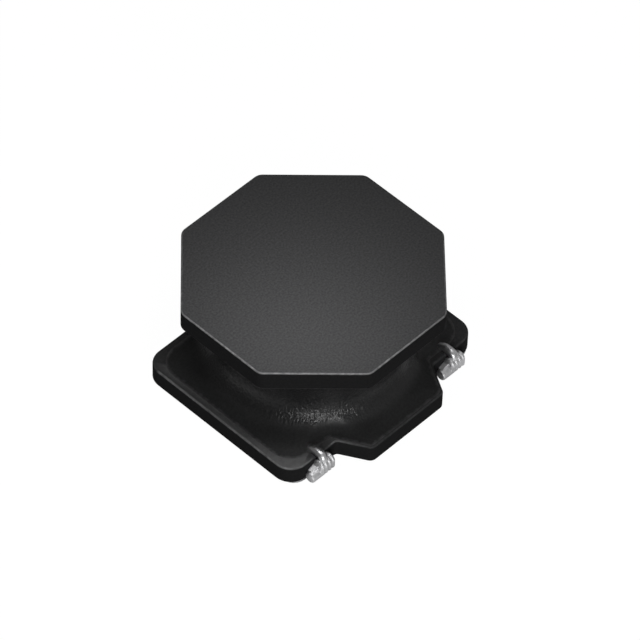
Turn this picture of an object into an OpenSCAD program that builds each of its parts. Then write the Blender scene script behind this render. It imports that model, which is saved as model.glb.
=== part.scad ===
// Semi-shielded surface-mount power inductor: a ferrite drum core with an
// octagonal top flange and a notched base, a wire coil round its post, a
// magnetic resin fillet between the flanges and two soldered wire ends.
// The origin is under the middle of the part, on the plane of the solder pads.

/* [Overall size] */
// Length of the base along X
base_x = 7.85; // [7:0.05:9]
// Length of the base along Y, from tongue to tongue
base_y = 8.0; // [7:0.1:9]
// Height from the solder pads to the top face
height = 4.0; // [3.6:0.1:5]

/* [Ferrite core] */
// Distance across the flats of the octagonal top flange
flange_flats = 7.7; // [7.3:0.05:7.8]
// Thickness of the top flange
flange_t = 0.7; // [0.5:0.05:0.9]
// Corner radius of the octagon
flange_corner = 0.35; // [0.1:0.05:0.6]
// Thickness of the base flange
base_t = 0.6; // [0.54:0.02:0.8]
// Diameter of the centre post
post_d = 3.5; // [3:0.1:3.6]
// Rounding of the flange edges
edge_r = 0.07; // [0.03:0.01:0.1]

/* [Base notches] */
// How far the corner lobes stand back from the tongues
notch_depth = 0.96; // [0.8:0.02:1.1]
// Width of a tongue at its outer end
tongue_w = 3.0; // [2.6:0.1:3.4]
// Slope of the tongue flanks away from Y
tongue_slope = 30; // [20:1:35]
// Corner radius of the lobes
lobe_corner = 0.6; // [0.4:0.05:0.8]
// Corner radius of the tongues
tongue_corner = 0.25; // [0.1:0.05:0.4]
// Radius in the inner corner of a notch
notch_corner = 0.15; // [0.08:0.01:0.25]

/* [Coil and wire ends] */
// Diameter of the wire
wire_d = 0.28; // [0.24:0.01:0.3]
// Layers of wire on the post
layers = 4; // [3:1:4]
// Depth of the wire groove in the base
groove_depth = 0.1; // [0.06:0.01:0.18]
// Radius of the bends, on the wire's centre line
bend_r = 0.16; // [0.15:0.01:0.2]
// Straight wire between the base and the first bend
lead_stand = 0.01; // [0.005:0.005:0.05]
// Reach of the bent tail along X, from the wire's centre line
tail_reach = 0.54; // [0.44:0.01:0.6]
// Height of the tail's centre line above the solder pads
tail_z = 0.2; // [0.18:0.01:0.24]

/* [Magnetic resin] */
// Resin cover over the outermost turns and over the wire on the base
resin_cover = 0.06; // [0.03:0.01:0.12]
// Radius of the concave fillet at the foot of the resin
foot_r = 0.9; // [0.6:0.05:1]
// Radius of the concave neck above that fillet
neck_r = 2.6; // [2:0.1:4]
// Thickness of the resin film on the base
film_t = 0.1; // [0.08:0.01:0.15]
// Bare ferrite left along the sides and the lobes
bare_rim = 0.22; // [0.15:0.01:0.3]
// Bare ferrite left along the tongues
tongue_rim = 0.08; // [0.06:0.01:0.15]

/* [Solder terminals] */
// Thickness of the plated pads
pad_t = 0.08; // [0.05:0.01:0.12]
// Width of a pad
pad_w = 1.6; // [1.3:0.05:1.7]
// Distance of a pad from the side of the base
pad_inset = 0.125; // [0.08:0.005:0.2]

/* [Solder joints] */
// Length of the ridged solder bead along X
bead_len = 0.62; // [0.5:0.02:0.7]
// Height of the bead's axis above the solder pads
bead_z = 0.42; // [0.36:0.02:0.5]
// Radius of the bead between its ridges
bead_r = 0.19; // [0.17:0.005:0.21]
// Number of ridges on the bead
ridges = 4; // [3:1:5]
// Radius of one ridge
ridge_r = 0.03; // [0.02:0.005:0.045]
// Thickness of the solder round the tail
sheath_t = 0.04; // [0.02:0.005:0.05]
// Height of the solder web between the wire end and the base
web_h = 0.5; // [0.4:0.02:0.6]
// Distance of the solder web from the end of the tail
web_in = 0.1; // [0.06:0.01:0.2]

/* [Fits] */
// Room between the coil and the core
coil_gap = 0.03; // [0.02:0.005:0.05]
// Room between the wire and what is cast or soldered round it
fit = 0.005; // [0.003:0.001:0.01]
// Room between the wire and its groove
groove_gap = 0.02; // [0.01:0.005:0.03]

/* [Hidden] */
$fn = 64;

corner_steps = 6;
edge_steps = 3;
octagon_sides = 8;
overlap = 0.1;

base_top = pad_t + base_t;
flange_under = height - flange_t;
notch_y = base_y / 2 - notch_depth;
wire_r = wire_d / 2;
coil_in = post_d / 2 + coil_gap;
coil_out = coil_in + layers * wire_d;
lead_x = coil_out - wire_r;
turns = floor((flange_under - base_top - coil_gap) / wire_d);
coil_top = base_top + turns * wire_d;

// The wire leaves the coil level, in its groove, and then bends twice
run_z = base_top - groove_depth + wire_r;
bend_y = notch_y + lead_stand;
drop_y = -bend_y - bend_r;
drop_z = run_z - bend_r;
turn_z = tail_z + bend_r;

waist_r = coil_out + resin_cover;
film_z = base_top + film_t;
waist_z = film_z + foot_r;

function unit(v) = v / norm(v);

function turned(v, a) = [v.x * cos(a) - v.y * sin(a), v.x * sin(a) + v.y * cos(a)];

// Arc of radius r in place of corner b, between its neighbours a and c
function corner_arc(a, b, c, r) =
    let (
        u = unit(a - b),
        v = unit(c - b),
        half = acos(u * v) / 2,
        centre = b + unit(u + v) * r / sin(half),
        first = b + u * r / tan(half) - centre,
        sweep = sign(cross(u, v)) * (2 * half - 180))
    [for (k = [0:corner_steps]) centre + turned(first, sweep * k / corner_steps)];

function rounded(corners, radii) =
    let (n = len(corners))
    [for (i = [0:n - 1])
        each corner_arc(corners[(i + n - 1) % n], corners[i], corners[(i + 1) % n], radii[i])];

function octagon(inset) =
    let (r = (flange_flats / 2 - inset) / cos(180 / octagon_sides))
    rounded(
        [for (i = [0:octagon_sides - 1]) r * turned([1, 0], (i + 0.5) * 360 / octagon_sides)],
        [for (i = [1:octagon_sides]) flange_corner - inset]);

// Half width of a tongue at a distance y from the middle of the base
function tongue_half(y) = tongue_w / 2 + (base_y / 2 - y) * tan(tongue_slope);

// Outline of the base, drawn in by an amount at its sides, its lobes and its tongues
function base_outline(side_in, lobe_in, tongue_in) =
    let (
        side = base_x / 2 - side_in,
        lobe = notch_y - lobe_in,
        tip = base_y / 2 - tongue_in,
        flank_in = tongue_in / cos(tongue_slope),
        tip_half = tongue_half(tip) - flank_in,
        root_half = tongue_half(lobe) - flank_in,
        front = [[-side, -lobe], [-root_half, -lobe], [-tip_half, -tip],
            [tip_half, -tip], [root_half, -lobe], [side, -lobe]],
        lobe_r = lobe_corner - side_in,
        tip_r = tongue_corner - tongue_in,
        radii = [lobe_r, notch_corner, tip_r, tip_r, notch_corner, lobe_r])
    rounded(concat(front, -front), concat(radii, radii));

function base_ring(inset) = base_outline(inset, inset, inset);

function raised(points, z) = [for (p = points) [p.x, p.y, z]];

// Closed solid through a stack of rings round Z that all have the same number of points
module loft(rings) {
    n = len(rings[0]);
    last = len(rings) - 1;
    foot_mid = n * len(rings);
    head_mid = foot_mid + 1;
    mids = [[0, 0, rings[0][0].z], [0, 0, rings[last][0].z]];
    sides = [for (j = [0:last - 1]) for (i = [0:n - 1])
        [j * n + i, (j + 1) * n + i, (j + 1) * n + (i + 1) % n, j * n + (i + 1) % n]];
    foot = [for (i = [0:n - 1]) [foot_mid, i, (i + 1) % n]];
    head = [for (i = [0:n - 1]) [head_mid, last * n + (i + 1) % n, last * n + i]];
    polyhedron(points = concat([for (ring = rings) each ring], mids), faces = concat(sides, foot, head));
}

function edge_in(k) = edge_r * (1 - sin(90 * k / edge_steps));
function edge_up(k) = edge_r * (1 - cos(90 * k / edge_steps));

// Top flange, rounded at its upper and lower edges
module top_flange() {
    lower = [for (k = [0:edge_steps]) raised(octagon(edge_in(k)), flange_under + edge_up(k))];
    upper = [for (k = [edge_steps:-1:0]) raised(octagon(edge_in(k)), height - edge_up(k))];
    loft(concat(lower, upper));
}

// Base flange, square at its lower edge where the pads end and rounded at its upper edge
module base_flange() {
    upper = [for (k = [edge_steps:-1:0]) raised(base_ring(edge_in(k)), base_top - edge_up(k))];
    loft(concat([raised(base_ring(0), pad_t)], upper));
}

// Path of one wire end: along the groove, over the edge, down and along the foot of the notch
module lead_path(x, r) {
    translate([x, 0, run_z])
        rotate([90, 0, 0])
            cylinder(r = r, h = bend_y);
    translate([x, -bend_y, drop_z])
        rotate([90, 0, 90])
            rotate([0, 0, 90])
                rotate_extrude(angle = 90)
                    translate([bend_r, 0])
                        circle(r);
    translate([x, drop_y, turn_z])
        cylinder(r = r, h = drop_z - turn_z);
    translate([x - bend_r, drop_y, turn_z])
        rotate([90, 0, 0])
            rotate([0, 0, -90])
                rotate_extrude(angle = 90)
                    translate([bend_r, 0])
                        circle(r);
    translate([x - tail_reach, drop_y, tail_z])
        rotate([0, 90, 0])
            cylinder(r = r, h = tail_reach - bend_r);
}

// Groove in the top of the base, open upwards, that takes the wire out to the notch
module lead_groove(x) {
    r = wire_r + groove_gap;
    translate([x, groove_gap, run_z])
        rotate([90, 0, 0])
            cylinder(r = r, h = base_y);
    translate([x - r, groove_gap - base_y, run_z])
        cube([2 * r, base_y, groove_depth]);
}

// One sintered piece: top flange, centre post and notched base
module drum_core() {
    color("#3a3a3c")
        difference() {
            union() {
                top_flange();
                base_flange();
                translate([0, 0, base_top - overlap])
                    cylinder(d = post_d, h = flange_under - base_top + 2 * overlap);
            }
            lead_groove(-lead_x);
            lead_groove(lead_x);
        }
}

// Section of the coil, with the outer turns as ridges above the turn that leaves as the wire ends
module coil_section() {
    translate([coil_in, base_top])
        square([lead_x - coil_in, turns * wire_d]);
    for (i = [1:turns - 1])
        translate([lead_x, base_top + wire_r + i * wire_d])
            circle(wire_r);
}

// One length of wire: the coil and its two bent ends
module coil_wire() {
    color("#b87333")
        union() {
            rotate_extrude()
                coil_section();
            lead_path(-lead_x, wire_r);
            lead_path(lead_x, wire_r);
        }
}

// Section of the resin: a thin film on the base, a concave foot and a neck that flares upwards
module resin_section() {
    difference() {
        translate([0, base_top])
            square([base_x, flange_under - base_top]);
        translate([waist_r + foot_r, waist_z])
            circle(foot_r);
        translate([waist_r + foot_r, film_z])
            square([base_x, height]);
        intersection() {
            translate([waist_r + neck_r, waist_z])
                circle(neck_r);
            translate([0, waist_z])
                square([base_x, height]);
        }
    }
}

// Resin over one wire end, out to the bare rim of the base
module lead_cover(x) {
    r = wire_r + resin_cover;
    intersection() {
        translate([x, 0, run_z])
            rotate([90, 0, 0])
                cylinder(r = r, h = notch_y - bare_rim);
        translate([x - r, -base_y, base_top])
            cube([2 * r, base_y, height]);
    }
}

// Cast resin between the flanges, up to the bare rim of the base
module magnetic_resin() {
    color("#1c1c1e")
        difference() {
            union() {
                intersection() {
                    rotate_extrude()
                        resin_section();
                    linear_extrude(height)
                        polygon(base_outline(bare_rim, bare_rim, tongue_rim));
                }
                lead_cover(-lead_x);
                lead_cover(lead_x);
            }
            cylinder(d = post_d, h = height);
            cylinder(r = coil_out + fit, h = coil_top + fit);
            lead_path(-lead_x, wire_r + fit);
            lead_path(lead_x, wire_r + fit);
        }
}

// Plated pad under one side of the base, from notch to notch
module terminal(side) {
    outer = base_x / 2 - pad_inset;
    color("#c9ccd0")
        linear_extrude(pad_t)
            intersection() {
                polygon(base_outline(pad_inset, 0, 0));
                translate([side * (outer - pad_w / 2), 0])
                    square([pad_w, base_y], center = true);
            }
}

module start_terminal() {
    terminal(-1);
}

module finish_terminal() {
    terminal(1);
}

// Ridged bead of solder, its axis along X
module bead() {
    pitch = (bead_len - 2 * ridge_r) / (ridges - 1);
    rotate([0, 90, 0])
        rotate_extrude() {
            translate([0, -bead_len / 2])
                square([bead_r, bead_len]);
            for (i = [0:ridges - 1])
                translate([bead_r, ridge_r - bead_len / 2 + i * pitch])
                    circle(ridge_r);
        }
}

// Solder round one wire end: a bead at the bend, a sheath on the tail and a web to the base
module solder_joint(x) {
    color("#d8dade")
        difference() {
            union() {
                translate([x, drop_y, bead_z])
                    bead();
                translate([x - tail_reach - sheath_t, drop_y, tail_z])
                    rotate([0, 90, 0])
                        cylinder(r = wire_r + sheath_t, h = tail_reach + sheath_t);
                translate([x, overlap - notch_y, 0])
                    rotate([90, 0, 0])
                        linear_extrude(overlap - notch_y - drop_y)
                            polygon([[web_in - tail_reach, 0], [web_in, 0], [web_in, web_h],
                                [-wire_r, web_h], [web_in - tail_reach, tail_z]]);
            }
            lead_path(x, wire_r + fit);
            translate([x - base_x, -notch_y, -height])
                cube([2 * base_x, base_y, 2 * height]);
        }
}

module start_solder() {
    solder_joint(-lead_x);
}

module finish_solder() {
    solder_joint(lead_x);
}

drum_core();
coil_wire();
magnetic_resin();
start_terminal();
finish_terminal();
start_solder();
finish_solder();
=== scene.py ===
import math

import bmesh
import bpy
import numpy as np
from mathutils import Matrix, Vector, noise


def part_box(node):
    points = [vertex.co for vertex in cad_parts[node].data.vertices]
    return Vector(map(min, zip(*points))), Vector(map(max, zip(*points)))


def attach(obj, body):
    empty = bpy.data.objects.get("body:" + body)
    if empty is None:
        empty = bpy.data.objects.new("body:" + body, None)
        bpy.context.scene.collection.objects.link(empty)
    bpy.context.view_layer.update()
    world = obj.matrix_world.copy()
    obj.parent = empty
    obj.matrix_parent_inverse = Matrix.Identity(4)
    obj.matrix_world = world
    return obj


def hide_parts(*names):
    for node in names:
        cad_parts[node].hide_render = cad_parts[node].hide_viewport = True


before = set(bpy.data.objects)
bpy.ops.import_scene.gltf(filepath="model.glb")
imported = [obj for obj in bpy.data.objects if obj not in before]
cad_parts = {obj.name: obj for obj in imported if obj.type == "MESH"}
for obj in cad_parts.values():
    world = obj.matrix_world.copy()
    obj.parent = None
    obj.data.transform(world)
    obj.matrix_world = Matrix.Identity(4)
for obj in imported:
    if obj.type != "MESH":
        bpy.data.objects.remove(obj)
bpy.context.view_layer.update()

# Everything is in metres, in the frame of the solids; MM turns millimetres into metres
MM = 0.001

# Boxes of the solids, which give most sizes below
core_lo, core_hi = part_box("drum_core")
resin_lo, resin_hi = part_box("magnetic_resin")
wire_lo, wire_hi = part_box("coil_wire")
pad_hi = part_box("start_terminal")[1]

# Ferrite core
base_x, base_y = core_hi.x, core_hi.y
height = core_hi.z
base_foot = core_lo.z
base_top = resin_lo.z
flange_under = resin_hi.z
flange_half = 3.85 * MM
flange_corner = 0.35 * MM
notch_y = pad_hi.y
tongue_half = 1.5 * MM
tongue_slope = math.radians(30)
lobe_corner = 0.6 * MM
tongue_corner = 0.25 * MM
notch_corner = 0.15 * MM
flange_steps, base_steps = 14, 9
post_r = 1.75 * MM
groove_depth = 0.1 * MM
groove_gap = 0.02 * MM

# Edges of the core: radius, depth and cells of the chips, and the share of painted highlight and painted rim
# light left where these are held back
edge_r = 0.07 * MM
edge_steps = 6
edge_wear = 0.014 * MM
chip_coarse, chip_fine, chip_share = 1.7 / MM, 6 / MM, 0.5
least_painted_light = 0.15

# Coil and wire ends
wire_r = 0.14 * MM
bend_r = 0.16 * MM
coil_gap = 0.03 * MM
coil_out, coil_top = wire_hi.y, wire_hi.z
coil_in = post_r + coil_gap
lead_x = coil_out - wire_r
run_z = base_top - groove_depth + wire_r
drop_y = wire_lo.y + wire_r
tail_z = wire_lo.z + wire_r
tail_reach = -lead_x - wire_lo.x
tube_sides, coil_sides = 32, 144
bend_steps, rise_steps, turn_steps = 14, 12, 10

# Dip of the wire ends under the resin, and how far behind the notch they rise out of it
buried = 0.19 * MM
rise_from, rise_to = 0.54 * MM, 0.12 * MM

# Resin film on the base: rims left bare, thickness inside and at its edge, width over which it thins
bare_rim = base_x - resin_hi.x
tongue_rim = base_y - resin_hi.y
film_t = 0.07 * MM
film_least = 0.004 * MM
film_edge = 0.5 * MM
film_corner = 0.8 * MM
film_step = 0.05 * MM
film_z = base_top + film_t

# Resin foot and neck, the room for the coil, and slight waves
resin_cover = 0.06 * MM
waist_r = coil_out + resin_cover
foot_r = 0.9 * MM
neck_r = 2.6 * MM
waist_z = film_z + foot_r
film_rows, neck_rows = 60, 24
resin_fit = 0.005 * MM
resin_wave = 0.012 * MM
wave_grain = 1.3 / MM
wave_rise = 0.4

# Solder joints: ridged beads, a sheath on the tail of the wire and a web in the corner of the notch
bead_len = 0.57 * MM
bead_shift = 0.035 * MM
bead_r = 0.19 * MM
bead_z = 0.42 * MM
bead_count = 3
ridge_h = 0.03 * MM
ridge_count = 4
sheath_t = 0.04 * MM
web_h = 0.5 * MM
web_in = 0.1 * MM
solder_sides, bead_steps, sheath_steps = 48, 80, 60

# Ends of beads and sheath: how square they are, and the share of the radius that they start from
bead_square, sheath_square = 10, 12
bead_end, sheath_end = 0.75, 0.55

# Skin of the solder
solder_voxel = 0.012 * MM
solder_rough = 0.006 * MM
lump_coarse, lump_fine, lump_share = 5 / MM, 13 / MM, 0.4

# Finish of the ferrite: colours, including painted shade on the walls, painted light on the bare rim and a
# painted highlight on the edges, grain in cells per millimetre, depth of bumps, shine and roughness
noise_span = 0.3, 0.7
ferrite_dark, ferrite_light = (0.046, 0.046, 0.047), (0.066, 0.066, 0.067)
# Painted shade: the darker colour of the walls and how much of it they take
painted_wall_shade, wall_shade_share = (0.02, 0.02, 0.0205), 0.72
# Painted light on the bare rim of the base, and a painted highlight along the rounded edges
painted_rim_light, painted_edge_highlight = (0.15, 0.15, 0.151), (0.27, 0.27, 0.272)
ferrite_grain, patch_grain, ragged_grain = 16, 5, 6
ferrite_bump = 0.006 * MM
ferrite_shine, ferrite_rough, edge_rough = 0.01, 0.6, 0.36
wall_span, edge_span = (0, 0.3), (0.04, 0.24)
patch_span, patch_range = (0.35, 0.65), (0.4, 1)
rim_ragged = 0.75, 1.1

# Finish of the resin, which turns from a matte film to a grainy foot between two heights
resin_dark, resin_light = (0.018, 0.018, 0.0185), (0.03, 0.03, 0.0305)
thin_colour, thin_span = (0.085, 0.085, 0.086), (0, 0.2)
thin_ragged = -0.08, 0.08
powder_grain, streak_grain, speck_grain = 14, 11, 15
streak_bump, speck_bump = 0.018 * MM, 0.019 * MM
streak_squeeze = 0.45
grain_from, grain_to = film_z + 0.05 * MM, film_z + 0.32 * MM
film_grain = 0.05
resin_shine, film_rough, foot_rough = 0.5, 0.85, 0.33

# Finish of the metal: tin, and copper on the coil up to where its ends are tinned
tin_dark, tin_light = (0.68, 0.68, 0.69), (0.84, 0.84, 0.85)
tin_grain, tin_bump_grain = 9, 14
tin_bump = 0.002 * MM
wire_rough, joint_rough, plating_rough = (0.3, 0.42), (0.45, 0.6), (0.34, 0.48)
copper_colour = (0.5, 0.17, 0.06)
tinned_from, tinned_to = -1.2 * MM, -1.6 * MM

# Camera, as the photograph was taken
cam_azimuth = math.radians(-47.197)
cam_elevation = math.radians(49.495)
cam_roll = math.radians(1.994)
cam_distance = 150 * MM
cam_lens = 287.635
cam_sensor = 36
cam_near, cam_far = 1 * MM, 10
cam_target = Vector((0.084, -0.25, 2.0)) * MM

# Lights and sky: a brightness of 1 shows as white
front = Vector((math.sin(cam_azimuth), -math.cos(cam_azimuth), 0))
side = Vector((math.cos(cam_azimuth), math.sin(cam_azimuth), 0))
key_ahead, key_left, key_above = 3 * MM, 0.4 * MM, 5 * MM
key_place = front * key_ahead - side * key_left + Vector((0, 0, height + key_above))
key_radius, key_tall = 3.1 * MM, 2 * MM
key_brightness = 5.8
top_distance = 100 * MM
top_radius = 40 * MM
top_brightness = 1.45
fill_distance = 100 * MM
fill_elevation = math.radians(11)
fill_turn = math.radians(11)
fill_radius, fill_tall = 13 * MM, 21 * MM
fill_brightness = 10.5
world_brightness = 0.03
world_mirrored, mirrored_span = (0.11, 0.32), (-0.3, 0.6)

# Floor, and the sheet of it that reflections see lit, less the shade near the object
floor_half = 2.0
floor_drop = 0.01 * MM
floor_white, floor_grey = 0.98, 0.08
floor_shade, shade_power, shade_samples = 12 * MM, 2, 8
sheet_near, sheet_far = 5 * MM, 8.5 * MM


# Outlines and meshes

def eased(share):
    """Smooth step from 0 to 1, for a number or an array."""
    return share * share * (3 - 2 * share)


def circle(count):
    """Angles once round."""
    return [2 * math.pi * k / count for k in range(count)]


def quarter_turn(steps):
    """Angles from 0 to a quarter turn."""
    return [math.pi / 2 * k / steps for k in range(steps + 1)]


def rounded(corners, radii, steps):
    """Outline with an arc in place of each corner."""
    out = []
    for i, corner in enumerate(corners):
        back = (corners[i - 1] - corner).normalized()
        on = (corners[(i + 1) % len(corners)] - corner).normalized()
        half = back.angle(on) / 2
        middle = corner + (back + on).normalized() * radii[i] / math.sin(half)
        first = corner + back * radii[i] / math.tan(half) - middle
        sweep = math.copysign(1, back.cross(on)) * (2 * half - math.pi)
        out += [middle + Matrix.Rotation(sweep * k / steps, 2) @ first for k in range(steps + 1)]
    return out


def octagon(inset):
    """Outline of the top flange, which starts near the first corner of the base."""
    reach = (flange_half - inset) / math.cos(math.pi / 8)
    corners = [Matrix.Rotation((i + 4.5) * math.pi / 4, 2) @ Vector((reach, 0)) for i in range(8)]
    return rounded(corners, [flange_corner - inset] * 8, flange_steps)


def base_outline(side_in, tongue_in, lobe_r):
    """Outline of the base, drawn in at its sides and its tongues, with a radius at its four corners."""
    across, lobe, tip = base_x - side_in, notch_y - side_in, base_y - tongue_in
    flank_in = tongue_in / math.cos(tongue_slope)
    tip_half = tongue_half + tongue_in * math.tan(tongue_slope) - flank_in
    root_half = tongue_half + (base_y - lobe) * math.tan(tongue_slope) - flank_in
    near = [Vector(p) for p in ((-across, -lobe), (-root_half, -lobe), (-tip_half, -tip),
                                (tip_half, -tip), (root_half, -lobe), (across, -lobe))]
    tip_r = tongue_corner - tongue_in
    radii = [lobe_r, notch_corner, tip_r, tip_r, notch_corner, lobe_r]
    return rounded(near + [-p for p in near], radii * 2, base_steps)


def base_ring(inset):
    """Outline of the base, drawn in evenly."""
    return base_outline(inset, inset, lobe_corner - inset)


def film_outline():
    """Outline of the resin on the base, which draws back from the corners."""
    return base_outline(bare_rim, tongue_rim, film_corner)


def skin(rows, wrap=False):
    """Faces over rows of points, each row a closed ring; open ends get a cap."""
    count = len(rows[0])
    points = [p for row in rows for p in row]
    faces = []
    for j in range(len(rows) if wrap else len(rows) - 1):
        a, b = j * count, (j + 1) % len(rows) * count
        for i in range(count):
            k = (i + 1) % count
            faces.append((a + i, a + k, b + k, b + i))
    if not wrap:
        faces += [tuple(range(count)), tuple(range(len(points) - count, len(points)))]
    return points, faces


def solid(name, *skins):
    """One mesh of closed skins, with their faces turned outwards."""
    points, faces = [], []
    for more_points, more_faces in skins:
        start = len(points)
        points += more_points
        faces += [tuple(start + i for i in face) for face in more_faces]
    mesh = bpy.data.meshes.new(name)
    mesh.from_pydata(points, [], faces)
    work = bmesh.new()
    work.from_mesh(mesh)
    bmesh.ops.recalc_face_normals(work, faces=work.faces)
    work.to_mesh(mesh)
    work.free()
    return mesh


def tube(path, radius):
    """Round tube along a path."""
    rows = []
    turns = circle(tube_sides)
    ahead = (path[1] - path[0]).normalized()
    across = ahead.orthogonal().normalized()
    for i, place in enumerate(path):
        before, after = path[max(i - 1, 0)], path[min(i + 1, len(path) - 1)]
        turned = (after - before).normalized()
        across = ahead.rotation_difference(turned) @ across
        ahead = turned
        up = ahead.cross(across)
        rows.append([place + (across * math.cos(a) + up * math.sin(a)) * radius for a in turns])
    return skin(rows)


def carry(mesh, name, shares):
    """Gives a mesh a share at each of its points, which its material can read."""
    mesh.attributes.new(name, "FLOAT", "POINT").data.foreach_set("value", shares)


def shaped(mesh, *modifiers):
    """Mesh with modifiers put on it, each given as its kind and its settings."""
    body = bpy.data.objects.new("body", mesh)
    bpy.context.scene.collection.objects.link(body)
    for kind, settings in modifiers:
        step = body.modifiers.new(kind, kind)
        for name, value in settings.items():
            setattr(step, name, value)
    seen = body.evaluated_get(bpy.context.evaluated_depsgraph_get())
    made = bpy.data.meshes.new_from_object(seen)
    bpy.data.objects.remove(body)
    return made


def piece(name, mesh, mat, slot, *nodes, sharp=40):
    """Puts a mesh in the scene in place of solids, smooth but for edges past an angle in degrees."""
    mesh.materials.clear()
    mesh.materials.append(mat)
    for face in mesh.polygons:
        face.use_smooth = True
    mesh.set_sharp_from_angle(angle=math.radians(sharp))
    made = bpy.data.objects.new(name, mesh)
    bpy.context.scene.collection.objects.link(made)
    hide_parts(*nodes)
    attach(made, "root")
    return made


# Pieces

def wear_and_painted_light(point, amount):
    """A point of an edge, drawn in a little where the edge is chipped."""
    coarse, fine = (max(0.0, noise.noise(point * cells)) for cells in (chip_coarse, chip_fine))
    chip = coarse + chip_share * fine
    return point - Vector((point.x, point.y, 0)).normalized() * amount * chip


def edge_ring(outline, z, turn, flip):
    """Ring of a rounded edge: turn goes from 0 on the wall to a quarter turn on the face."""
    inset, rise = edge_r * (1 - math.cos(turn)), edge_r * (1 - math.sin(turn))
    wear = edge_wear * math.sin(2 * turn)
    return [wear_and_painted_light(Vector((*p, z - flip * rise)), wear) for p in outline(inset)]


def painted_light_held_back(point):
    """Whether the painted highlight and painted rim light are held back at a point: at the tips, the far
    edge and the right lobes.
    """
    return abs(point.y) > base_y - tongue_corner or point.y > notch_y - lobe_corner or point.x > tongue_half


def core_mesh():
    """One sintered piece: notched base, centre post and octagonal flange."""
    turns = quarter_turn(edge_steps)
    rows = [[Vector((*p, base_foot)) for p in base_ring(0)]]
    rows += [edge_ring(base_ring, base_top, a, 1) for a in turns]
    rows.append([Vector((*p, base_top)) for p in film_outline()])
    rim = range(len(rows) - 1 - edge_steps // 2, len(rows))
    for outline, z in ((base_ring, base_top), (octagon, flange_under)):
        rows.append([Vector((*(p.normalized() * post_r), z)) for p in outline(0)])
    rows += [edge_ring(octagon, flange_under, a, -1) for a in reversed(turns)]
    rows += [edge_ring(octagon, height, a, 1) for a in turns]
    ends = [level_path(x, groove_gap) + [Vector((x, -base_y, run_z))] for x in (-lead_x, lead_x)]
    tool = bpy.data.objects.new("grooves", solid("grooves", *(tube(e, wire_r + groove_gap) for e in ends)))
    bpy.context.scene.collection.objects.link(tool)
    cut = ("BOOLEAN", {"operation": "DIFFERENCE", "solver": "EXACT", "object": tool})
    mesh = solid("core", skin(rows))
    spots = [(j, p) for j, row in enumerate(rows) for p in row]
    # Share of the painted highlight on the edges and the painted light on the rim, held back at the tips,
    # the far edge and the right lobes
    carry(mesh, "wear_and_painted_light", [least_painted_light if j <= rim[-1] and painted_light_held_back(p) else 1.0 for j, p in spots])
    carry(mesh, "rim", [float(j in rim) for j, _ in spots])
    made = shaped(mesh, cut)
    bpy.data.objects.remove(tool)
    return made


def level_path(x, first):
    """Centre line of one wire end in its groove: low under the resin, rising out of it near the notch."""
    low, high = rise_from - notch_y, rise_to - notch_y
    path = [Vector((x, first, run_z - buried))]
    for k in range(rise_steps + 1):
        share = k / rise_steps
        path.append(Vector((x, low + (high - low) * share, run_z - buried * (1 - eased(share)))))
    return path


def lead_path(x):
    """Centre line of one wire end: along its groove, over the edge, down and along the foot of the notch."""
    bend_y, turn_z = drop_y + bend_r, tail_z + bend_r
    turns = quarter_turn(bend_steps)
    path = level_path(x, 0)
    path += [Vector((x, bend_y - bend_r * math.sin(a), run_z - bend_r * (1 - math.cos(a)))) for a in turns]
    path += [Vector((x - bend_r * (1 - math.cos(a)), drop_y, turn_z - bend_r * math.sin(a))) for a in turns]
    return path + [Vector((x - tail_reach, drop_y, tail_z))]


def wire_mesh():
    """The coil, its outer turns as ridges, and its two bent ends."""
    ring = circle(coil_sides)
    turn_count = round((coil_top - base_top) / (2 * wire_r))
    section = [(coil_in, coil_top), (coil_in, base_top), (lead_x, base_top)]
    angles = [math.pi * (k / turn_steps - 0.5) for k in range(turn_steps + 1)]
    for i in range(1, turn_count):
        middle = base_top + wire_r * (2 * i + 1)
        section += [(lead_x + wire_r * math.cos(a), middle + wire_r * math.sin(a)) for a in angles]
    rows = [[Vector((r * math.cos(a), r * math.sin(a), z)) for a in ring] for r, z in section]
    return solid("wire", skin(rows, wrap=True), *(tube(lead_path(x), wire_r) for x in (-lead_x, lead_x)))


def edge_distance(places, outline):
    """Distance of places from a closed outline."""
    along = np.roll(outline, -1, axis=0) - outline
    off = places[:, None] - outline
    share = np.clip((off * along).sum(2) / (along * along).sum(1), 0, 1)
    return np.linalg.norm(off - along * share[..., None], axis=2).min(1)


def resin_feet():
    """Close points round the footprint of the resin."""
    corners = np.array(film_outline())
    feet = []
    for a, b in zip(corners, np.roll(corners, -1, axis=0)):
        parts = max(1, math.ceil(np.linalg.norm(b - a) / film_step))
        feet += [a + (b - a) * k / parts for k in range(parts)]
    return np.array(feet)


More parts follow.
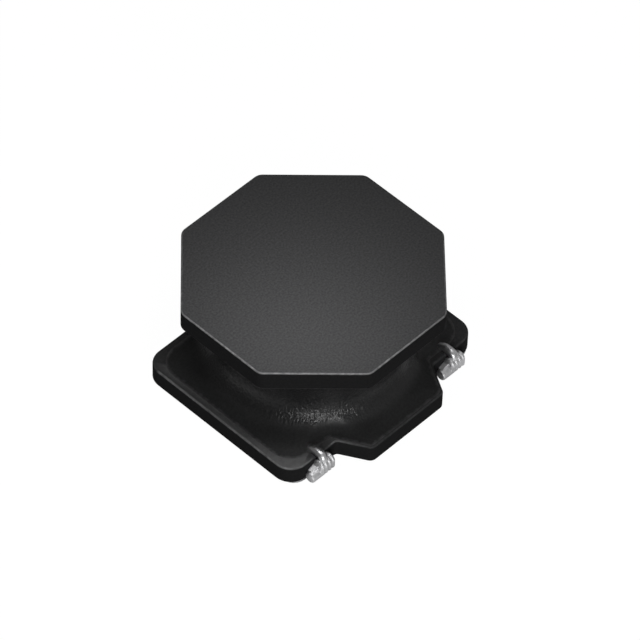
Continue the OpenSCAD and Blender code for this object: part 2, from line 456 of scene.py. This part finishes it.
def resin_mesh():
    """Cast resin between the flanges: a film that thins out, a foot, a neck and the room for the coil."""
    feet = resin_feet()
    reach = np.linalg.norm(feet, axis=1)
    out = feet / reach[:, None]
    rows, cover = [], []

    def add(r, z, share, wave):
        """Adds a ring, with its points moved by a wave, outwards and a little upwards."""
        r, z, share, wave = (np.broadcast_to(v, reach.shape) for v in (r, z, share, wave))
        ring = [Vector((*p, h)) for p, h in zip(out * r[:, None], z)]
        moves = [Vector((*o, wave_rise)) * w for o, w in zip(out, wave)]
        rows.append([p + move * noise.noise(p * wave_grain) for p, move in zip(ring, moves)])
        cover.extend(share)

    arc_r = waist_r + foot_r
    quarter = foot_r * math.pi / 2
    on_arc = foot_r * np.arccos(np.clip((arc_r - reach) / foot_r, -1, 1))
    whole = np.where(reach > arc_r, quarter + reach - arc_r, on_arc)
    foot_z = base_top + film_least
    add(reach, base_top, 0, 0)
    for k in range(film_rows + 1):
        run = whole * (1 - k / film_rows)
        turn = np.minimum(run, quarter) / foot_r
        r = arc_r - foot_r * np.cos(turn) + np.maximum(run - quarter, 0)
        z = waist_z - foot_r * np.sin(turn)
        share = np.clip(edge_distance(out * r[:, None], feet) / film_edge, 0, 1)
        thin = eased(share)
        add(r, foot_z + (z - foot_z) * thin, share, resin_wave * thin)
    top = math.asin((flange_under - waist_z) / neck_r)
    for k in range(1, neck_rows + 1):
        a = top * k / neck_rows
        r, z = waist_r + neck_r * (1 - math.cos(a)), waist_z + neck_r * math.sin(a)
        add(r, z, 1, resin_wave if k < neck_rows else 0)
    hollow_r, hollow_z = coil_out + resin_fit, coil_top + resin_fit
    for r, z in ((post_r, flange_under), (post_r, hollow_z), (hollow_r, hollow_z), (hollow_r, base_top)):
        add(r, z, 1, 0)
    mesh = solid("resin", skin(rows, wrap=True))
    carry(mesh, "cover", cover)
    return mesh


def solder_mesh(x):
    """Solder round one wire end: ridged beads, a sheath on the tail and a web to the base."""
    # Remeshed in millimetres, because in metres the voxels would be below Blender's least size
    big = 1 / MM
    ring = circle(solder_sides)

    def turned(x0, x1, steps, radius, z):
        """Skin of a bead along the tail at one height, with its radius by the share along it."""
        rows = []
        for k in range(steps + 1):
            at = x0 + (x1 - x0) * k / steps
            r = radius(k / steps)
            rows.append([Vector((at, drop_y + r * math.cos(a), z + r * math.sin(a))) * big for a in ring])
        return skin(rows)

    def blunt(share, square, end):
        """Share of the radius, which falls to its end value at both ends."""
        return end + (1 - end) * math.sqrt(max(1 - (2 * share - 1) ** square, 0.0))

    def ridged(share):
        """Radius along a bead."""
        wave = 0.5 - 0.5 * math.cos(2 * math.pi * ridge_count * share)
        return (bead_r + ridge_h * wave) * blunt(share, bead_square, bead_end)

    def capsule(share):
        """Radius along the sheath."""
        return (wire_r + sheath_t) * blunt(share, sheath_square, sheath_end)

    levels = [tail_z + (bead_z - tail_z) * (k + 1) / bead_count for k in range(bead_count)]
    start = x + bead_shift - bead_len / 2
    beads = [turned(start, start + bead_len, bead_steps, ridged, z) for z in levels]
    sheath = turned(x - tail_reach - sheath_t, x, sheath_steps, capsule, tail_z)
    far = web_in - tail_reach - sheath_t
    sheet = [(far, 0), (web_in, 0), (web_in, web_h), (-wire_r, web_h), (far, tail_z + wire_r + sheath_t / 2)]
    web = skin([[Vector((x + at, y, z)) * big for at, z in sheet] for y in (-notch_y, drop_y)])
    made = shaped(solid("solder", *beads, sheath, web),
                  ("REMESH", {"mode": "VOXEL", "voxel_size": solder_voxel * big}),
                  ("SMOOTH", {"factor": 0.5, "iterations": 5}))
    for vert in made.vertices:
        place = vert.co * MM
        lump = noise.noise(place * lump_coarse) + lump_share * noise.noise(place * lump_fine)
        place += vert.normal * solder_rough * lump
        vert.co = Vector((place.x, min(place.y, -notch_y), max(place.z, 0.0)))
    return made


# Nodes and materials

def put(tree, kind, inputs=None, **settings):
    """Adds a shader node with its settings and the values of its inputs."""
    made = tree.nodes.new(kind)
    for name, value in settings.items():
        setattr(made, name, value)
    for name, value in (inputs or {}).items():
        made.inputs[name].default_value = value
    return made


def new_material(name, values):
    """A material with one Principled shader, whose plain values are set on its own sockets."""
    mat = bpy.data.materials.new(name)
    mat.use_nodes = True
    tree = mat.node_tree
    shader = tree.nodes["Principled BSDF"]
    for socket, value in values.items():
        shader.inputs[socket].default_value = value
    return mat, tree, shader


def object_place(tree):
    """Place on the object, in metres."""
    return put(tree, "ShaderNodeTexCoord").outputs["Object"]


def mesh_share(tree, name):
    """A share that the mesh carries."""
    return put(tree, "ShaderNodeAttribute", attribute_name=name).outputs["Fac"]


def along_axis(tree, vector, axis):
    """One part of a vector: X, Y or Z."""
    made = put(tree, "ShaderNodeSeparateXYZ")
    tree.links.new(vector, made.inputs[0])
    return made.outputs[axis]


def grain_noise(tree, place, per_mm, detail=2):
    """Noise over a place in metres, with its grain given as cells per millimetre."""
    made = put(tree, "ShaderNodeTexNoise", {"Scale": per_mm / MM, "Detail": detail})
    tree.links.new(place, made.inputs["Vector"])
    return made.outputs["Fac"]


def math_node(tree, operation, *values):
    """One step of arithmetic on values, each a number or a socket."""
    made = put(tree, "ShaderNodeMath", operation=operation)
    for socket, value in zip(made.inputs, values):
        if isinstance(value, (int, float)):
            socket.default_value = value
        else:
            tree.links.new(value, socket)
    return made.outputs[0]


def fit_range(tree, value, low, high, to_low, to_high, smooth=False):
    """Maps a value from one range to another, held at its ends."""
    ends = {"From Min": low, "From Max": high, "To Min": to_low, "To Max": to_high}
    made = put(tree, "ShaderNodeMapRange", ends)
    if smooth:
        made.interpolation_type = "SMOOTHSTEP"
    tree.links.new(value, made.inputs["Value"])
    return made.outputs["Result"]


def grain_share(tree, place, per_mm, detail=2, low=0, high=1):
    """Noise spread over a range."""
    return fit_range(tree, grain_noise(tree, place, per_mm, detail), *noise_span, low, high)


def ray_kinds(tree):
    """Whether a ray is the camera's own, and whether it was mirrored or passed through glass."""
    path = put(tree, "ShaderNodeLightPath").outputs
    mirrored = math_node(tree, "MAXIMUM", path["Is Glossy Ray"], path["Is Transmission Ray"])
    return path["Is Camera Ray"], mirrored


def blend(tree, share, first, second):
    """Colour between two colours, each a tuple or a socket."""
    made = put(tree, "ShaderNodeMix", data_type="RGBA")
    colours = [s for s in made.inputs if s.type == "RGBA"]
    for socket, value in zip(colours, (first, second)):
        if isinstance(value, tuple):
            socket.default_value = (*value, 1)
        else:
            tree.links.new(value, socket)
    tree.links.new(share, made.inputs["Factor"])
    return next(s for s in made.outputs if s.type == "RGBA")


def bump(tree, shader, value, depth, below=None):
    """Bump from a value, with its depth in metres, over an earlier bump if there is one."""
    made = put(tree, "ShaderNodeBump", {"Strength": 1.0, "Distance": depth})
    tree.links.new(value, made.inputs["Height"])
    if below is not None:
        tree.links.new(below, made.inputs["Normal"])
    tree.links.new(made.outputs["Normal"], shader.inputs["Normal"])
    return made.outputs["Normal"]


def ferrite_colour(tree, place):
    """Grey of the sintered grain."""
    return blend(tree, grain_share(tree, place, ferrite_grain), ferrite_dark, ferrite_light)


def ferrite():
    """Sintered ferrite: matte, with painted shade on its walls, painted light on the bare rim of its base
    and a painted highlight on its edges, which are also smoother.
    """
    mat, tree, shader = new_material("ferrite", {"Specular IOR Level": ferrite_shine})
    place = object_place(tree)
    slope = along_axis(tree, put(tree, "ShaderNodeNewGeometry").outputs["Normal"], "Z")
    upward = math_node(tree, "MULTIPLY", slope, slope)
    edge = math_node(tree, "MULTIPLY", upward, math_node(tree, "SUBTRACT", 1.0, upward))
    edge = fit_range(tree, edge, *edge_span, 0, 1, smooth=True)
    patches = fit_range(tree, grain_noise(tree, place, patch_grain, 4), *patch_span, *patch_range)
    # Share of painted highlight and painted rim light that the mesh carries
    painted_light_share = mesh_share(tree, "wear_and_painted_light")
    edge = math_node(tree, "MULTIPLY", math_node(tree, "MULTIPLY", edge, patches), painted_light_share)
    rim = math_node(tree, "MULTIPLY", mesh_share(tree, "rim"), painted_light_share)
    ragged = grain_share(tree, place, ragged_grain, 3, *rim_ragged)
    # Painted shade: the walls take a darker colour
    wall = fit_range(tree, upward, *wall_span, wall_shade_share, 0, smooth=True)
    shaded_walls = blend(tree, wall, ferrite_colour(tree, place), painted_wall_shade)
    # Painted light: the bare rim of the base takes a lighter colour
    lit_rim = blend(tree, math_node(tree, "MULTIPLY", rim, ragged), shaded_walls, painted_rim_light)
    # Painted highlight: the rounded edges take a lighter colour
    tree.links.new(blend(tree, edge, lit_rim, painted_edge_highlight), shader.inputs["Base Color"])
    tree.links.new(fit_range(tree, edge, 0, 1, ferrite_rough, edge_rough), shader.inputs["Roughness"])
    bump(tree, shader, grain_noise(tree, place, ferrite_grain), ferrite_bump)
    return mat


def drawn_place(tree, place):
    """Place moved to the radius of the waist and squeezed in height, so that grain there runs down."""
    level = put(tree, "ShaderNodeVectorMath", {1: (1, 1, 0)}, operation="MULTIPLY")
    tree.links.new(place, level.inputs[0])
    around = put(tree, "ShaderNodeVectorMath", operation="NORMALIZE")
    tree.links.new(level.outputs[0], around.inputs[0])
    wall = put(tree, "ShaderNodeVectorMath", {"Scale": waist_r}, operation="SCALE")
    tree.links.new(around.outputs[0], wall.inputs[0])
    lift = put(tree, "ShaderNodeCombineXYZ")
    squeezed = math_node(tree, "MULTIPLY", along_axis(tree, place, "Z"), streak_squeeze)
    tree.links.new(squeezed, lift.inputs["Z"])
    drawn = put(tree, "ShaderNodeVectorMath", operation="ADD")
    tree.links.new(wall.outputs[0], drawn.inputs[0])
    tree.links.new(lift.outputs[0], drawn.inputs[1])
    return drawn.outputs[0]


def resin():
    """Powder-filled resin: near black, matte and thin on the base, with a fine grain drawn down its neck."""
    mat, tree, shader = new_material("resin", {"Specular IOR Level": resin_shine})
    place = object_place(tree)
    above = along_axis(tree, place, "Z")
    above = fit_range(tree, above, grain_from, grain_to, film_grain, 1, smooth=True)
    drawn = drawn_place(tree, place)
    streaks = math_node(tree, "MULTIPLY", grain_noise(tree, drawn, streak_grain, 1), above)
    specks = math_node(tree, "MULTIPLY", grain_noise(tree, place, speck_grain, 1), above)
    dark = blend(tree, grain_share(tree, place, powder_grain), resin_dark, resin_light)
    ragged = grain_share(tree, place, ragged_grain, 3, *thin_ragged)
    cover = math_node(tree, "ADD", mesh_share(tree, "cover"), ragged)
    share = fit_range(tree, cover, *thin_span, 0, 1)
    tree.links.new(blend(tree, share, thin_colour, dark), shader.inputs["Base Color"])
    tree.links.new(fit_range(tree, above, 0, 1, film_rough, foot_rough), shader.inputs["Roughness"])
    first = bump(tree, shader, streaks, streak_bump)
    bump(tree, shader, specks, speck_bump, first)
    return mat


def tin(name, low, high):
    """Tin, a little uneven, with its roughness between two values."""
    mat, tree, shader = new_material(name, {"Metallic": 1.0})
    place = object_place(tree)
    grain = grain_share(tree, place, tin_grain, 3)
    colour = blend(tree, grain, tin_dark, tin_light)
    tree.links.new(colour, shader.inputs["Base Color"])
    tree.links.new(fit_range(tree, grain, 0, 1, low, high), shader.inputs["Roughness"])
    bump(tree, shader, grain_noise(tree, place, tin_bump_grain), tin_bump)
    return mat, tree, shader, colour, place


def wire_finish():
    """Copper under enamel on the coil, tinned where the ends leave it."""
    mat, tree, shader, colour, place = tin("wire", *wire_rough)
    tinned = fit_range(tree, along_axis(tree, place, "Y"), tinned_from, tinned_to, 0, 1)
    tree.links.new(blend(tree, tinned, copper_colour, colour), shader.inputs["Base Color"])
    return mat


# Stage

def soft_light(name, place, aim, radius, tall, brightness):
    """Oval area light of a given brightness, which the camera doesn't see."""
    data = bpy.data.lights.new(name, "AREA")
    data.shape = "ELLIPSE"
    data.size, data.size_y = 2 * radius, 2 * tall
    data.energy = brightness * math.pi * math.pi * radius * tall
    lamp = bpy.data.objects.new(name, data)
    lamp.location = place
    lamp.rotation_euler = (aim - place).to_track_quat("-Z", "Y").to_euler()
    lamp.visible_camera = False
    bpy.context.scene.collection.objects.link(lamp)


def set_lights():
    """Key close over the flange, a wide top light and a low fill."""
    middle = Vector((0, 0, height / 2))
    soft_light("key", key_place, middle, key_radius, key_tall, key_brightness)
    soft_light("top", middle + Vector((0, 0, top_distance)), middle, top_radius, top_radius, top_brightness)
    turned = front * math.cos(fill_turn) + side * math.sin(fill_turn)
    toward = turned * math.cos(fill_elevation) + Vector((0, 0, math.sin(fill_elevation)))
    soft_light("fill", middle + toward * fill_distance, middle, fill_radius, fill_tall, fill_brightness)


def set_sky():
    """Faint white sky, brighter in reflections and most so on the right."""
    world = bpy.data.worlds.new("studio")
    world.use_nodes = True
    tree = world.node_tree
    back = tree.nodes["Background"]
    back.inputs["Color"].default_value = (1, 1, 1, 1)
    mirrored = ray_kinds(tree)[1]
    toward_light = put(tree, "ShaderNodeVectorMath", {1: side}, operation="DOT_PRODUCT")
    tree.links.new(put(tree, "ShaderNodeTexCoord").outputs["Generated"], toward_light.inputs[0])
    sky = fit_range(tree, toward_light.outputs["Value"], *mirrored_span, *world_mirrored, smooth=True)
    strength = math_node(tree, "MAXIMUM", math_node(tree, "MULTIPLY", mirrored, sky), world_brightness)
    tree.links.new(strength, back.inputs["Strength"])
    bpy.context.scene.world = world


def set_floor():
    """White floor: white to the camera, and to reflections as a lit sheet less the object's shadow."""
    signs = (-1, -1), (1, -1), (1, 1), (-1, 1)
    corners = [(x * floor_half, y * floor_half, -floor_drop) for x, y in signs]
    mesh = bpy.data.meshes.new("floor")
    mesh.from_pydata(corners, [], [(0, 1, 2, 3)])
    mat = bpy.data.materials.new("white_floor")
    mat.use_nodes = True
    tree = mat.node_tree
    tree.nodes.clear()
    reach = {"Distance": floor_shade}
    shade = put(tree, "ShaderNodeAmbientOcclusion", reach, samples=shade_samples).outputs["AO"]
    shade = math_node(tree, "POWER", shade, shade_power)
    away = put(tree, "ShaderNodeVectorMath", operation="LENGTH")
    tree.links.new(object_place(tree), away.inputs[0])
    lit = fit_range(tree, away.outputs["Value"], sheet_near, sheet_far, 1, world_mirrored[0], smooth=True)
    shade = math_node(tree, "MULTIPLY", shade, lit)
    by_camera, mirrored = ray_kinds(tree)
    seen = math_node(tree, "MAXIMUM", by_camera, math_node(tree, "MULTIPLY", mirrored, shade))
    paper = put(tree, "ShaderNodeBsdfDiffuse", {"Color": (floor_grey, floor_grey, floor_grey, 1)})
    glow = put(tree, "ShaderNodeEmission", {"Color": (1, 1, 1, 1)})
    tree.links.new(math_node(tree, "MULTIPLY", seen, floor_white), glow.inputs["Strength"])
    both = put(tree, "ShaderNodeAddShader")
    tree.links.new(paper.outputs[0], both.inputs[0])
    tree.links.new(glow.outputs[0], both.inputs[1])
    out = put(tree, "ShaderNodeOutputMaterial")
    tree.links.new(both.outputs[0], out.inputs["Surface"])
    mesh.materials.append(mat)
    floor = bpy.data.objects.new("floor", mesh)
    bpy.context.scene.collection.objects.link(floor)


def set_camera():
    """Camera where the photograph was taken from."""
    ahead = -front * math.cos(cam_elevation) - Vector((0, 0, math.sin(cam_elevation)))
    above = side.cross(ahead)
    right = side * math.cos(cam_roll) + above * math.sin(cam_roll)
    up = above * math.cos(cam_roll) - side * math.sin(cam_roll)
    data = bpy.data.cameras.new("camera")
    data.lens = cam_lens
    data.sensor_width = cam_sensor
    data.clip_start, data.clip_end = cam_near, cam_far
    camera = bpy.data.objects.new("camera", data)
    turn = Matrix((right, up, -ahead)).transposed().to_4x4()
    camera.matrix_world = Matrix.Translation(cam_target - ahead * cam_distance) @ turn
    bpy.context.scene.collection.objects.link(camera)
    bpy.context.scene.camera = camera


def dress(node, mat):
    """Gives its finish to a solid that keeps its mesh."""
    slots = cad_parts[node].data.materials
    slots.clear()
    slots.append(mat)


bpy.context.scene.view_settings.view_transform = "Standard"
set_camera()
set_lights()
set_sky()
set_floor()
core = piece("core", core_mesh(), ferrite(), "ferrite", "drum_core", sharp=30)
core.modifiers.new("even", "WEIGHTED_NORMAL").keep_sharp = True
piece("wire_ends", wire_mesh(), wire_finish(), "wire", "coil_wire")
piece("resin_fillet", resin_mesh(), resin(), "resin", "magnetic_resin", sharp=50)
solder = tin("solder", *joint_rough)[0]
piece("start_joint", solder_mesh(-lead_x), solder, "solder", "start_solder", sharp=180)
piece("finish_joint", solder_mesh(lead_x), solder, "solder", "finish_solder", sharp=180)
plating = tin("plating", *plating_rough)[0]
dress("start_terminal", plating)
dress("finish_terminal", plating)
